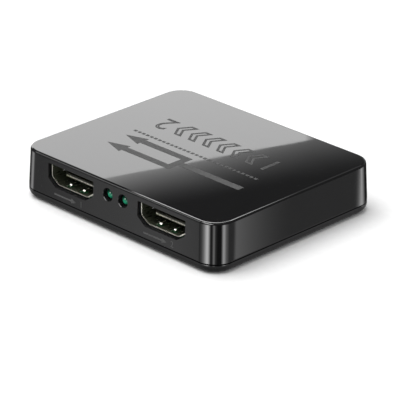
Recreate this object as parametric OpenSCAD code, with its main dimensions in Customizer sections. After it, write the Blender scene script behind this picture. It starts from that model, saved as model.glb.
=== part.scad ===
// Video splitter box: one input repeated on two outputs.
// A leaning-walled top cover is screwed down on a shallow bottom cover, and the two clamp one circuit board
// that carries three video sockets, a power socket, three lamps and the electronics.
// Millimetres. Origin at the middle of the base, +Z up. Outputs face -Y, input and power face +Y.

/* [Case] */
// Width at the parting line
case_w = 66.5; // [60:0.5:90]
// Depth at the parting line, from output face to input face
case_d = 55.5; // [50:0.5:80]
// Radius of the upright corners at the parting line
corner_r = 5.4; // [4.6:0.1:7]
// Height of the parting line above the base
seam_z = 2.3; // [2.2:0.1:3]
// Lean of the walls above the parting line, in degrees
draft = 2.3; // [0.5:0.1:3]
// Thickness of the side walls
wall = 1.6; // [1.2:0.1:2]
// Thickness of the roof
roof_t = 1.2; // [1.2:0.1:2.5]
// Thickness of the floor
floor_t = 1.6; // [1.2:0.1:2]
// Radius of the top edge
top_edge_r = 0.6; // [0.3:0.1:1.2]
// Radius of the bottom edge
base_edge_r = 2; // [0.6:0.1:2]
// Bevel on both covers where they meet
seam_bevel = 0.15; // [0.05:0.05:0.3]
// Height of the locating lip on the bottom cover
lip_h = 1.4; // [0.8:0.1:1.8]
// Thickness of the locating lip
lip_t = 0.9; // [0.6:0.1:1.2]
// Gap between the lip and the top cover's wall
lip_gap = 0.15; // [0.05:0.05:0.3]

/* [Fixings] */
// Distance of each screw from the two nearest outer faces
boss_inset = 6; // [5.5:0.1:7]
// Radius of the screw bosses and posts
boss_r = 2.5; // [2.2:0.1:2.8]
// Height of the posts under the board
post_h = 2.6; // [2.4:0.1:4]
// Thread radius of the screws
screw_r = 1; // [0.8:0.05:1.2]
// Screw length under the head
screw_len = 8; // [7:0.1:8.6]
// Radius of the screw head
head_r = 1.8; // [1.6:0.05:1.9]
// Height of the screw head
head_h = 1.2; // [0.8:0.1:1.5]
// Depth of the head's outer face inside the base
head_sink = 0.5; // [0.2:0.1:0.8]
// Thread pitch
thread_pitch = 0.8; // [0.6:0.1:1.2]

/* [Board] */
// Thickness of the circuit board
board_t = 1.6; // [1:0.1:2]
// Gap between the board and the walls
board_gap = 0.5; // [0.3:0.1:1]
// Least room between a corner boss and a socket
boss_gap = 1.9; // [1:0.05:2.5]

/* [Video sockets] */
// Outer width of the socket's shell
video_w = 15; // [14.6:0.1:15.6]
// Outer height of the socket's shell
video_h = 5.2; // [5.1:0.1:5.8]
// Length of the shell
video_len = 11; // [10.4:0.1:12]
// Sheet thickness of the shell
video_sheet = 0.35; // [0.25:0.05:0.4]
// Width taken off each lower corner
video_cut_w = 2.4; // [1.6:0.1:2.8]
// Height taken off each lower corner
video_cut_h = 1.7; // [1.2:0.1:2]
// Width of the tongue
tongue_w = 10.6; // [10:0.1:11.4]
// Thickness of the tongue
tongue_t = 1.1; // [0.8:0.1:1.3]
// Height of the tongue's underside above the board
tongue_z = 1.5; // [1.4:0.1:2.2]
// Distance of the tongue's tip behind the mouth
tongue_tip = 2.6; // [1.5:0.1:3]
// Thickness of the moulded block that carries the tongue
block_len = 3.2; // [2.4:0.1:3.4]
// Pitch of the contacts, upper and lower row taken together
video_pitch = 0.5; // [0.45:0.01:0.52]

/* [Power socket] */
// Outer width of the power socket's shell
power_w = 7.4; // [7:0.1:8]
// Outer height of the power socket's shell
power_h = 2.6; // [2.4:0.1:3]
// Length of the shell
power_len = 5.4; // [5:0.1:6]
// Sheet thickness of the shell
power_sheet = 0.3; // [0.2:0.05:0.35]
// Size of the cut across each lower corner
power_cut = 0.9; // [0.6:0.1:1.1]
// Width of the power socket's tongue
power_tongue_w = 3.8; // [3.5:0.1:4.2]
// Thickness of the power socket's tongue
power_tongue_t = 0.6; // [0.4:0.05:0.7]

/* [Openings] */
// Room beside and below a socket in the wall
port_gap = 0.35; // [0.3:0.05:0.6]
// Room above a socket in the wall
port_gap_above = 0.1; // [0.05:0.05:0.3]
// Distance of a socket's mouth behind the outer face
port_recess = 0.8; // [0.3:0.1:1]
// Room between the tallest socket and the roof
head_gap = 0.5; // [0.2:0.1:1]

/* [Lamps] */
// Radius of a lamp's lens
led_r = 1.5; // [1.3:0.05:1.6]
// Length of a lamp from tip to base
led_len = 5.3; // [4.8:0.1:6]
// Radius of the lamp's flange
led_flange_r = 1.7; // [1.65:0.05:1.9]
// Thickness of the lamp's flange
led_flange_t = 1; // [0.6:0.1:1.2]
// Height of the lamps above the board
led_rise = 3.6; // [3:0.1:3.6]
// Distance between the two output lamps
led_pitch = 5.08; // [4.2:0.02:5.6]
// Room round a lamp in its hole
led_gap = 0.1; // [0.05:0.05:0.2]
// Distance of an output lamp's tip behind the outer face
led_recess = 0.5; // [0.4:0.1:1.2]
// Distance of the power lamp's tip behind the outer face
power_led_recess = 0.2; // [0.1:0.1:1]
// Room between the power lamp and the sockets beside it
led_side_gap = 0.95; // [0.6:0.05:1.2]
// Spacing of a lamp's two leads
lead_pitch = 2.54; // [2:0.02:2.6]
// Thickness of a lamp's square leads
lead_t = 0.5; // [0.4:0.05:0.6]

/* [Electronics] */
// Side of the splitter chip's square package
chip_w = 10; // [8:0.5:10]
// Leads on each side of the splitter chip
chip_leads = 16; // [8:1:16]
// Size of the memory chip's package
memory_w = 4.9; // [4:0.1:5.2]
// Diameter of the filter capacitor's can
can_d = 4; // [3:0.1:4.4]
// Side of the square power inductor
coil_w = 4; // [3:0.1:5]
// Length of the small chip resistors and capacitors
passive_len = 1.6; // [1:0.1:2]

/* [Hidden] */
$fn = 48;
past = 1;

// Levels, from the base up
board_z = floor_t + post_h;
board_top = board_z + board_t;
roof_z = board_top + video_h + head_gap;
case_h = roof_z + roof_t;
lip_top = seam_z + lip_h;
led_z = board_top + led_rise;

// The upright corner axes are shared by every shape that follows the walls
flat_w = case_w - 2 * corner_r;
flat_d = case_d - 2 * corner_r;
boss_x = case_w / 2 - boss_inset;
boss_y = case_d / 2 - boss_inset;
boss_places = [for (x = [-1, 1], y = [-1, 1]) [x * boss_x, y * boss_y]];

// Distance that the leaning wall has moved inwards at a height
function lean(z) = max(0, z - seam_z) * tan(draft);
// Distance of the output or input face from the middle at a height
function face_y(z) = case_d / 2 - lean(z);

// Fixings
seat_z = head_sink + head_h;
screw_tip_z = seat_z + screw_len;
screw_clearance = 0.2;
thread_clearance = 0.02;
pilot_room = 0.4;
head_clearance = 0.3;
thread_depth = 0.2;
head_bevel = 0.3;
drive_w = 0.5;
drive_len = 2.2;
drive_depth = 0.7;

// Places of the sockets and lamps across the faces
socket_limit = boss_x - boss_r - boss_gap;
output_x = socket_limit - video_w / 2;
power_x = socket_limit - power_w / 2;
power_led_x = power_x - power_w / 2 - led_side_gap - led_flange_r;
input_x = power_led_x - led_flange_r - led_side_gap - video_w / 2;
video_y = face_y(board_top + video_h / 2) - port_recess;
power_y = face_y(board_top + power_h / 2) - port_recess;
output_led_y = face_y(led_z) - led_recess;
power_led_y = face_y(led_z) - power_led_recess;

// Sockets
contact_t = 0.12;
contact_w = 0.3;
contact_set_back = 0.4;
tail_len = 2.2;
leg_w = 1.2;
leg_tail = 0.5;
leg_drop = board_t + leg_tail;
leg_gap = 0.2;
video_contacts_n = 19;
tail_room = 1.4;
video_back = video_len - tail_room;
video_block = video_back - block_len;
front_leg = 7;
rear_leg = 1.8;
video_legs = [video_len - front_leg, video_len - rear_leg];
tip_bevel = 0.25;
finger_x = 2.35;
finger_w = 1.2;
finger_slit = 0.3;
finger_len = 2.8;
finger_bend = 2;
finger_rise = 0.2;
finger_tip = 1;
finger_root = finger_tip + finger_len;
flap_gap = 0.6;
power_contacts_n = 5;
power_pitch = 0.65;
power_block_len = 1.6;
power_block = power_len - power_block_len;
power_tongue_tip = 0.9;
power_tongue_z = 1.1;
power_leg = 2.4;
power_legs = [power_len - power_leg];

// Lamps
lead_run = 2;
lead_tail = 1.2;
lead_hole_gap = 0.12;

// Electronics: the splitter chip in the middle, the rest beside it or behind the socket that it serves
output_side = [-output_x, 0];
power_side = [power_x, 0];
chip_h = 1.4;
chip_pitch = 0.5;
chip_lead_w = 0.22;
memory_offset = [-2.65, 3];
memory_place = output_side + memory_offset;
memory_d = 3.9;
memory_h = 1.5;
memory_leads_n = 4;
memory_pitch = 1.27;
memory_lead_w = 0.4;
lead_sheet = 0.15;
gull_out = 0.4;
gull_foot = 0.6;
gull_z = 0.6;
regulator_offset = [-3.65, -2];
regulator_place = power_side + regulator_offset;
regulator_size = [6.5, 3.5, 1.6];
regulator_pitch = 2.3;
regulator_leads_n = 3;
regulator_tab_w = 3;
regulator_lead_w = 0.7;
crystal_place = [-10.4, 4];
crystal_size = [3.2, 2.5, 0.6];
crystal_rim = 0.25;
crystal_lid_h = 0.3;
coil_offset = [-1.65, 6.4];
coil_place = power_side + coil_offset;
coil_h = 2;
coil_bevel = 0.5;
coil_terminal = [0.4, 2.4, 0.8];
can_offset = [4.85, 3.5];
can_place = power_side + can_offset;
can_h = 3.8;
can_groove = 0.2;
can_base_h = 0.8;
can_base_rim = 0.15;
fuse_offset = [4.35, 8.8];
fuse_place = power_side + fuse_offset;
fuse_size = [3.2, 1.6, 0.7];
passive_w = 0.8;
capacitor_h = 0.8;
resistor_h = 0.5;
end_cap = 0.35;
ring_gap = 1.2;
ring_reach = chip_w / 2 + gull_out + gull_foot + ring_gap;
ring_step = 3;
capacitor_places = [for (turn = [0:90:270], s = [-1, 1]) [turn, s * ring_step]];
surge_size = [2.5, 1, 0.6];
surge_step = 4.2;
surge_gap = 2.4;
surge_depth = video_len + surge_gap;
resistor_gap = 2.9;
resistor_depth = surge_depth + resistor_gap;
resistor_step = 1.8;
resistor_row = [-1.5, -0.5, 0.5, 1.5];

// Shapes that repeat

// Pushes a flat shape, drawn as across and up, back along +Y from the origin
module along_depth(length) {
    translate([0, length, 0]) rotate([90, 0, 0]) linear_extrude(length) children();
}

// Pushes a flat shape, drawn as depth and up, evenly to both sides along X
module along_width(width) {
    rotate([90, 0, 90]) linear_extrude(width, center = true) children();
}

// Box standing on the board's top, centred on a place
module chip_box(place, size, lift = 0) {
    translate([place.x - size.x / 2, place.y - size.y / 2, board_top + lift]) cube(size);
}

// Solid that follows the case's outline. Its edge section is drawn as reach from the corner axis, and height
module case_solid(low, high) {
    translate([-flat_w / 2, -flat_d / 2, low]) cube([flat_w, flat_d, high - low]);
    for (turn = [0:3]) {
        run = turn % 2 == 0 ? flat_w : flat_d;
        reach = turn % 2 == 0 ? flat_d : flat_w;
        rotate([0, 0, 90 * turn]) {
            translate([0, -reach / 2, 0]) rotate([90, 0, -90]) linear_extrude(run, center = true) children();
            translate([run / 2, -reach / 2, 0]) rotate([0, 0, -90]) rotate_extrude(angle = 90) children();
        }
    }
}

// Leaning edge section between two heights, set in from the outer skin
module leaning_section(low, high, inset) {
    reach = corner_r - inset;
    polygon([[0, low], [reach - lean(low), low], [reach - lean(high), high], [0, high]]);
}

// Outline of a socket with cut lower corners, drawn across and up. A positive inset makes it smaller
function socket_outline(w, top, cut_w, cut_h, inset) =
    let (k = 1 + inset * sqrt(1 / (cut_w * cut_w) + 1 / (cut_h * cut_h)),
         side = w / 2 - inset,
         side_z = cut_h * (k - inset / cut_w),
         base_x = w / 2 - cut_w * (k - inset / cut_h))
    [[-side, top], [-side, side_z], [-base_x, inset], [base_x, inset], [side, side_z], [side, top]];

function video_outline(inset) = socket_outline(video_w, video_h - inset, video_cut_w, video_cut_h, inset);
function power_outline(inset) = socket_outline(power_w, power_h - inset, power_cut, power_cut, inset);

// Upright legs of a socket's shell, through the board
module socket_legs(w, sheet, top, depths) {
    for (side = [0, 1], depth = depths)
        mirror([side, 0, 0]) translate([w / 2 - sheet, depth - leg_w / 2, -leg_drop])
            cube([sheet, leg_w, leg_drop + top]);
}

// Slots in the board for those legs
module leg_slots(w, sheet, depths) {
    for (side = [0, 1], depth = depths)
        mirror([side, 0, 0]) translate([w / 2 - sheet - leg_gap, depth - leg_w / 2 - leg_gap])
            square([sheet + 2 * leg_gap, leg_w + 2 * leg_gap]);
}

// One contact: along the tongue from its tip, through the block, down behind it and out along the board
module contact(tip, level, block_end) {
    along_width(contact_w) polygon([
        [tip, level], [block_end, level], [block_end, 0], [block_end + tail_len, 0],
        [block_end + tail_len, contact_t], [block_end + contact_t, contact_t],
        [block_end + contact_t, level + contact_t], [tip, level + contact_t]]);
}

// Row of gull-wing leads along one side of a chip, at a reach from its middle
module gull_leads(place, turn, reach, count, pitch, width) {
    translate([place.x, place.y, board_top]) rotate([0, 0, turn])
        for (i = [0:count - 1]) translate([(i - (count - 1) / 2) * pitch, 0, 0]) along_width(width) polygon([
            [reach, gull_z], [reach + gull_out - lead_sheet, gull_z], [reach + gull_out - lead_sheet, 0],
            [reach + gull_out + gull_foot, 0], [reach + gull_out + gull_foot, lead_sheet],
            [reach + gull_out, lead_sheet], [reach + gull_out, gull_z + lead_sheet],
            [reach, gull_z + lead_sheet]]);
}

// Frames of the sockets and lamps: origin at the mouth or tip, depth along +Y, level with the board's top
module at_output(x, y) {
    translate([x, -y, board_top]) children();
}

module at_input(x, y) {
    translate([x, y, board_top]) rotate([0, 0, 180]) children();
}

// Covers

module bottom_skin() {
    polygon([[0, 0], [corner_r - base_edge_r, 0], [corner_r - base_edge_r, base_edge_r],
             [corner_r, base_edge_r], [corner_r, seam_z - seam_bevel], [corner_r - seam_bevel, seam_z],
             [0, seam_z]]);
    intersection() {
        translate([corner_r - base_edge_r, base_edge_r]) circle(base_edge_r);
        translate([corner_r - base_edge_r, 0]) square(base_edge_r);
    }
}

lip_inset = wall + lean(lip_top) + lip_gap;

module bottom_cover() {
    color("#141416") difference() {
        union() {
            difference() {
                union() {
                    case_solid(0, seam_z) bottom_skin();
                    case_solid(floor_t, lip_top) translate([0, floor_t])
                        square([corner_r - lip_inset, lip_top - floor_t]);
                }
                case_solid(floor_t, lip_top + past) translate([0, floor_t])
                    square([corner_r - lip_inset - lip_t, lip_top + past - floor_t]);
            }
            for (p = boss_places) translate([p.x, p.y, floor_t / 2])
                cylinder(h = board_z - floor_t / 2, r = boss_r);
        }
        for (p = boss_places) translate(p) {
            translate([0, 0, -past]) cylinder(h = seat_z + past, r = head_r + head_clearance);
            cylinder(h = board_z + past, r = screw_r + screw_clearance);
        }
    }
}

top_fillet_z = case_h - top_edge_r;
top_fillet_u = corner_r - lean(top_fillet_z) - top_edge_r / cos(draft);

module top_skin() {
    polygon([[0, seam_z], [corner_r - seam_bevel, seam_z],
             [corner_r - lean(seam_z + seam_bevel), seam_z + seam_bevel],
             [top_fillet_u + top_edge_r * cos(draft), top_fillet_z + top_edge_r * sin(draft)],
             [top_fillet_u, case_h], [0, case_h]]);
    translate([top_fillet_u, top_fillet_z]) circle(top_edge_r);
}

// Holes in one face for a socket outline or a lamp, cut clean through the wall
module face_hole() {
    translate([0, -port_recess - past, 0]) along_depth(port_recess + wall + 3 * past) children();
}

module video_hole() {
    top = video_h + port_gap_above;
    face_hole() polygon(socket_outline(video_w, top, video_cut_w, video_cut_h, -port_gap));
}

module power_hole() {
    top = power_h + port_gap_above;
    face_hole() polygon(socket_outline(power_w, top, power_cut, power_cut, -port_gap));
}

module led_hole() {
    translate([0, -led_recess - past, led_rise]) rotate([-90, 0, 0])
        cylinder(h = led_recess + wall + 2 * past, r = led_r + led_gap);
}

module top_cover() {
    color("#101012") difference() {
        union() {
            difference() {
                case_solid(seam_z, case_h) top_skin();
                case_solid(seam_z - past, roof_z) leaning_section(seam_z - past, roof_z, wall);
            }
            for (p = boss_places) translate([p.x, p.y, board_top])
                cylinder(h = roof_z + roof_t / 2 - board_top, r = boss_r);
        }
        for (p = boss_places) translate([p.x, p.y, board_top - past])
            cylinder(h = screw_tip_z + pilot_room - board_top + past, r = screw_r + thread_clearance);
        for (x = [-output_x, output_x]) at_output(x, video_y) video_hole();
        for (x = [-1, 1]) at_output(x * led_pitch / 2, output_led_y) led_hole();
        at_input(input_x, video_y) video_hole();
        at_input(power_x, power_y) power_hole();
        at_input(power_led_x, power_led_y) led_hole();
    }
}

module case_screws() {
    threads = floor((screw_len - thread_pitch) / thread_pitch);
    color("silver") for (p = boss_places) translate([p.x, p.y, 0]) difference() {
        rotate_extrude() polygon(concat(
            [[0, head_sink], [head_r - head_bevel, head_sink], [head_r, head_sink + head_bevel],
             [head_r, seat_z]],
            [for (i = [0:threads - 1], half = [0, 1])
                [screw_r - (1 - half) * thread_depth, seat_z + (i + half / 2) * thread_pitch]],
            [[screw_r - thread_depth, seat_z + threads * thread_pitch], [0, screw_tip_z]]));
        for (turn = [0, 90]) rotate([0, 0, turn])
            translate([-drive_len / 2, -drive_w / 2, head_sink - past])
                cube([drive_len, drive_w, drive_depth + past]);
    }
}

// Board

module lead_holes() {
    for (x = [-1, 1]) translate([x * lead_pitch / 2, led_len + lead_run - lead_t / 2])
        circle(lead_t / sqrt(2) + lead_hole_gap);
}

module main_board() {
    edge = corner_r - wall - lean(board_top) - board_gap;
    color("#1d5c38") difference() {
        case_solid(board_z, board_top) translate([0, board_z]) square([edge, board_t]);
        for (p = boss_places) translate([p.x, p.y, board_z - past])
            cylinder(h = board_t + 2 * past, r = screw_r + screw_clearance);
        translate([0, 0, -board_t - past]) {
            for (x = [-output_x, output_x]) at_output(x, video_y)
                linear_extrude(board_t + 2 * past) leg_slots(video_w, video_sheet, video_legs);
            for (x = [-1, 1]) at_output(x * led_pitch / 2, output_led_y)
                linear_extrude(board_t + 2 * past) lead_holes();
            at_input(input_x, video_y)
                linear_extrude(board_t + 2 * past) leg_slots(video_w, video_sheet, video_legs);
            at_input(power_x, power_y)
                linear_extrude(board_t + 2 * past) leg_slots(power_w, power_sheet, power_legs);
            at_input(power_led_x, power_led_y) linear_extrude(board_t + 2 * past) lead_holes();
        }
    }
}

// Video sockets

// Bent spring strip in the lower wall of a shell, rooted at its rear end
module spring_finger() {
    bend = finger_root - finger_bend;
    end = finger_root + finger_slit;
    along_width(finger_w) polygon([
        [end, 0], [finger_root, 0], [bend, finger_rise], [finger_tip, finger_rise / 2],
        [finger_tip, finger_rise / 2 + video_sheet], [bend, finger_rise + video_sheet],
        [finger_root, video_sheet], [end, video_sheet]]);
}

// Lower and upper wall in turn, with a spring finger to each side
module at_fingers() {
    for (x = [-finger_x, finger_x]) translate([x, 0, 0]) {
        children();
        translate([0, 0, video_h]) mirror([0, 0, 1]) children();
    }
}

module video_shell() {
    difference() {
        along_depth(video_len) polygon(video_outline(0));
        translate([0, -past, 0]) along_depth(video_len - video_sheet + past)
            polygon(video_outline(video_sheet));
        translate([-video_w / 2, video_back, -past])
            cube([video_w, video_len - video_back + past, flap_gap + past]);
        at_fingers() translate([-finger_w / 2 - finger_slit, finger_tip - finger_slit, -past])
            cube([finger_w + 2 * finger_slit, finger_len + finger_slit, video_sheet + past]);
    }
    at_fingers() spring_finger();
    socket_legs(video_w, video_sheet, video_cut_h + leg_w, video_legs);
}

// Contacts stand alternately on the upper and the lower side of the tongue
module video_contacts() {
    for (i = [0:video_contacts_n - 1]) {
        level = i % 2 == 0 ? tongue_z + tongue_t : tongue_z - contact_t;
        translate([(i - (video_contacts_n - 1) / 2) * video_pitch, 0, 0])
            contact(tongue_tip + contact_set_back, level, video_back);
    }
}

module video_insulator() {
    top = tongue_z + tongue_t;
    difference() {
        union() {
            translate([0, video_block, 0]) along_depth(block_len) polygon(video_outline(video_sheet));
            along_width(tongue_w) polygon([
                [tongue_tip, tongue_z + tip_bevel], [tongue_tip + tip_bevel, tongue_z],
                [video_block + block_len / 2, tongue_z], [video_block + block_len / 2, top],
                [tongue_tip + tip_bevel, top], [tongue_tip, top - tip_bevel]]);
        }
        video_contacts();
    }
}

module output_1_shell() {
    color("#c9c6be") at_output(-output_x, video_y) video_shell();
}

module output_1_insulator() {
    color("#1a1a1a") at_output(-output_x, video_y) video_insulator();
}

module output_1_contacts() {
    color("gold") at_output(-output_x, video_y) video_contacts();
}

module output_2_shell() {
    color("#c9c6be") at_output(output_x, video_y) video_shell();
}

module output_2_insulator() {
    color("#1a1a1a") at_output(output_x, video_y) video_insulator();
}

module output_2_contacts() {
    color("gold") at_output(output_x, video_y) video_contacts();
}

module input_shell() {
    color("#c9c6be") at_input(input_x, video_y) video_shell();
}

module input_insulator() {
    color("#1a1a1a") at_input(input_x, video_y) video_insulator();
}

module input_contacts() {
    color("gold") at_input(input_x, video_y) video_contacts();
}

// Power socket

module power_shell() {
    color("#d4d2cc") at_input(power_x, power_y) {
        difference() {
            along_depth(power_len) polygon(power_outline(0));
            translate([0, -past, 0]) along_depth(power_len + 2 * past) polygon(power_outline(power_sheet));
        }
        socket_legs(power_w, power_sheet, power_cut + leg_w / 2, power_legs);
    }
}

module power_contact_row() {
    for (i = [0:power_contacts_n - 1])
        translate([(i - (power_contacts_n - 1) / 2) * power_pitch, 0, 0])
            contact(power_tongue_tip + contact_set_back, power_tongue_z - contact_t, power_len);
}

module power_insulator() {
    color("#1a1a1a") at_input(power_x, power_y) difference() {
        union() {
            translate([0, power_block, 0]) along_depth(power_block_len) polygon(power_outline(power_sheet));
            translate([-power_tongue_w / 2, power_tongue_tip, power_tongue_z])
                cube([power_tongue_w, power_len - power_tongue_tip, power_tongue_t]);
        }
        power_contact_row();
    }
}

module power_contacts() {
    color("gold") at_input(power_x, power_y) power_contact_row();
}

// Lamps

// Domed lens with a flange at its base, tip at the origin
module led_lens() {
    translate([0, led_len, led_rise]) rotate([90, 0, 0]) rotate_extrude() {
        square([led_r, led_len - led_r]);
        square([led_flange_r, led_flange_t]);
        translate([0, led_len - led_r]) intersection() {
            circle(led_r);
            square(led_r);
        }
    }
}

// Two leads that run back from the lens and turn down through the board
module led_lead_pair() {
    back = led_len + lead_run;
    foot = -board_t - lead_tail;
    for (x = [-1, 1]) translate([x * lead_pitch / 2, 0, 0]) along_width(lead_t) polygon([
        [led_len, led_rise - lead_t / 2], [back - lead_t, led_rise - lead_t / 2], [back - lead_t, foot],
        [back, foot], [back, led_rise + lead_t / 2], [led_len, led_rise + lead_t / 2]]);
}

module output_1_led() {
    color("#1e8a55") at_output(-led_pitch / 2, output_led_y) led_lens();
}

module output_2_led() {
    color("#1e8a55") at_output(led_pitch / 2, output_led_y) led_lens();
}

module power_led() {
    color("#c8202c") at_input(power_led_x, power_led_y) led_lens();
}

module output_led_leads() {
    color("silver") for (x = [-1, 1]) at_output(x * led_pitch / 2, output_led_y) led_lead_pair();
}

module power_led_leads() {
    color("silver") at_input(power_led_x, power_led_y) led_lead_pair();
}

// Electronics on the board

module splitter_chip() {
    color("#202022") chip_box([0, 0], [chip_w, chip_w, chip_h], lead_sheet);
}

module splitter_chip_leads() {
    color("silver") for (turn = [0:90:270])
        gull_leads([0, 0], turn, chip_w / 2, chip_leads, chip_pitch, chip_lead_w);
}

module memory_chip() {
    color("#202022") chip_box(memory_place, [memory_w, memory_d, memory_h], lead_sheet);
}

module memory_chip_leads() {
    color("silver") for (turn = [0, 180])
        gull_leads(memory_place, turn, memory_d / 2, memory_leads_n, memory_pitch, memory_lead_w);
}

module regulator() {
    color("#202022") chip_box(regulator_place, regulator_size);
}

module regulator_leads() {
    color("silver") {
        reach = regulator_size.y / 2;
        gull_leads(regulator_place, 180, reach, regulator_leads_n, regulator_pitch, regulator_lead_w);
        gull_leads(regulator_place, 0, reach, 1, regulator_pitch, regulator_tab_w);
    }
}

module crystal_base() {
    color("#8a7a5a") chip_box(crystal_place, crystal_size);
}

module crystal_lid() {
    color("gainsboro") chip_box(crystal_place,
        [crystal_size.x - 2 * crystal_rim, crystal_size.y - 2 * crystal_rim, crystal_lid_h], crystal_size.z);
}

module inductor() {
    color("#3a3a3c") translate([coil_place.x, coil_place.y, board_top]) linear_extrude(coil_h) difference() {
        square(coil_w, center = true);
        for (turn = [0:90:270]) rotate(turn) translate([coil_w / 2, coil_w / 2]) rotate(45)
            square(coil_bevel * sqrt(2), center = true);
    }
}

module inductor_terminals() {
    color("silver") for (side = [-1, 1])
        chip_box([coil_place.x + side * (coil_w + coil_terminal.x) / 2, coil_place.y], coil_terminal);
}

module filter_capacitor_base() {
    side = can_d + 2 * can_base_rim;
    color("#242424") chip_box(can_place, [side, side, can_base_h]);
}

module filter_capacitor() {
    r = can_d / 2;
    color("lightgray") translate([can_place.x, can_place.y, board_top + can_base_h])
        rotate_extrude() polygon([
            [0, 0], [r, 0], [r, can_groove], [r - can_groove, 2 * can_groove], [r, 3 * can_groove],
            [r, can_h - can_groove], [r - can_groove, can_h], [0, can_h]]);
}

// Middles of the small chip parts, placed by the shape drawn there
module at_capacitors() {
    for (p = capacitor_places) rotate([0, 0, p[0]]) translate([p[1], ring_reach, board_top]) children();
}

module at_resistors() {
    for (side = [-1, 1], i = resistor_row)
        translate([side * output_x + i * resistor_step, resistor_depth - video_y, board_top]) children();
}

// Middle body of a small chip part, lying along Y, and its two metal ends
module passive_body(height) {
    body = passive_len - 2 * end_cap;
    translate([-passive_w / 2, -body / 2, 0]) cube([passive_w, body, height]);
}

module passive_ends(height) {
    for (side = [0, 1]) mirror([0, side, 0])
        translate([-passive_w / 2, passive_len / 2 - end_cap, 0]) cube([passive_w, end_cap, height]);
}

module ceramic_capacitors() {
    color("#a8805a") at_capacitors() passive_body(capacitor_h);
}

module resistors() {
    color("#18181a") at_resistors() passive_body(resistor_h);
}

module chip_end_caps() {
    color("silver") {
        at_capacitors() passive_ends(capacitor_h);
        at_resistors() passive_ends(resistor_h);
    }
}

module surge_arrays() {
    color("#202022") for (x = [-surge_step / 2, surge_step / 2]) {
        for (side = [-1, 1]) chip_box([side * output_x + x, surge_depth - video_y], surge_size);
        chip_box([input_x + x, video_y - surge_depth], surge_size);
    }
}

module power_fuse() {
    color("#d8c890") chip_box(fuse_place, fuse_size);
}

bottom_cover();
main_board();
output_1_shell();
output_1_insulator();
output_1_contacts();
output_2_shell();
output_2_insulator();
output_2_contacts();
input_shell();
input_insulator();
input_contacts();
power_shell();
power_insulator();
power_contacts();
output_1_led();
output_2_led();
power_led();
output_led_leads();
power_led_leads();
splitter_chip();
splitter_chip_leads();
memory_chip();
memory_chip_leads();
regulator();
regulator_leads();
crystal_base();
crystal_lid();
inductor();
inductor_terminals();
filter_capacitor();
filter_capacitor_base();
ceramic_capacitors();
resistors();
chip_end_caps();
surge_arrays();
power_fuse();
top_cover();
case_screws();
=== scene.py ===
from math import atan, atan2, cos, hypot, pi, radians, sin, tan

import bmesh
import bpy
from mathutils import Matrix, Vector


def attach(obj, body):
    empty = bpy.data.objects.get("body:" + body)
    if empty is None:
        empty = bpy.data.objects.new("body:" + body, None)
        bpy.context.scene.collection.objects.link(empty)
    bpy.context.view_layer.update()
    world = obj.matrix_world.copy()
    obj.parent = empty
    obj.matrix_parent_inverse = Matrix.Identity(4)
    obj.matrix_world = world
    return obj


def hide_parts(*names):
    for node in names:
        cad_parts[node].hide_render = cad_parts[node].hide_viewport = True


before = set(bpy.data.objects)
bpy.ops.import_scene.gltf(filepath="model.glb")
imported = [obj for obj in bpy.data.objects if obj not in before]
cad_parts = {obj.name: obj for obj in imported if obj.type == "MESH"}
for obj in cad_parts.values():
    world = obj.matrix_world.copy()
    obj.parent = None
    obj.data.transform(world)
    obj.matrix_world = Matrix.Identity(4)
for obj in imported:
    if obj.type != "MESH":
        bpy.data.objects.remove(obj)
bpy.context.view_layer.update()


# Bottom cover: the shallow tray that the box stands on, with a locating lip that slips inside the top cover,
# four posts under the board and a sunk seat for each screw head.
# Injection-moulded black ABS with a polished mould face; the four screws clamp it along the seam.

MM = 0.001
CASE_W, CASE_D, SEAM_Z = 66.5, 55.5, 2.3
CORNER_R, WALL, FLOOR_T = 5.4, 1.6, 1.6
BASE_EDGE_R, SEAM_BEVEL, SEAM_GAP, SEAM_STEP = 2.0, 0.06, 0.2, 0.5
LIP_INSET, LIP_T, LIP_H = 1.81, 0.9, 1.4
BOSS_X, BOSS_Y, BOSS_R = 27.25, 21.75, 2.5
BOARD_Z, BOARD_TOP = 4.2, 5.8
SEAT_Z, SEAT_R, SCREW_HOLE_R = 1.7, 2.1, 1.2


def only(*pieces):
    """Selects just these pieces, the first one active."""
    bpy.ops.object.select_all(action="DESELECT")
    for piece in pieces:
        piece.select_set(True)
    bpy.context.view_layer.objects.active = pieces[0]


def block(name, low, high):
    """Adds a box between two corners, in millimetres."""
    bpy.ops.object.select_all(action="DESELECT")
    bpy.ops.mesh.primitive_cube_add(size=1, location=[(a + b) / 2 * MM for a, b in zip(low, high)],
                                    scale=[(b - a) * MM for a, b in zip(low, high)])
    bpy.ops.object.transform_apply(location=True, rotation=True, scale=True)
    bpy.context.object.name = name
    return bpy.context.object


def rod(name, foot, radius, length, tilt=0, sides=48):
    """Adds an upright rod on a foot point, or one that lies along -Y with a tilt of 90 degrees."""
    bpy.ops.object.select_all(action="DESELECT")
    along = Matrix.Rotation(radians(tilt), 3, "X") @ Vector((0, 0, length / 2))
    bpy.ops.mesh.primitive_cylinder_add(vertices=sides, radius=radius * MM, depth=length * MM,
                                        location=(Vector(foot) + along) * MM, rotation=(radians(tilt), 0, 0))
    bpy.ops.object.transform_apply(location=True, rotation=True, scale=True)
    bpy.context.object.name = name
    return bpy.context.object


def edit(piece):
    """Opens a piece for shaping."""
    only(piece)
    bpy.ops.object.mode_set(mode="EDIT")


def done():
    """Closes the piece that is open."""
    bpy.ops.object.mode_set(mode="OBJECT")


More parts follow.
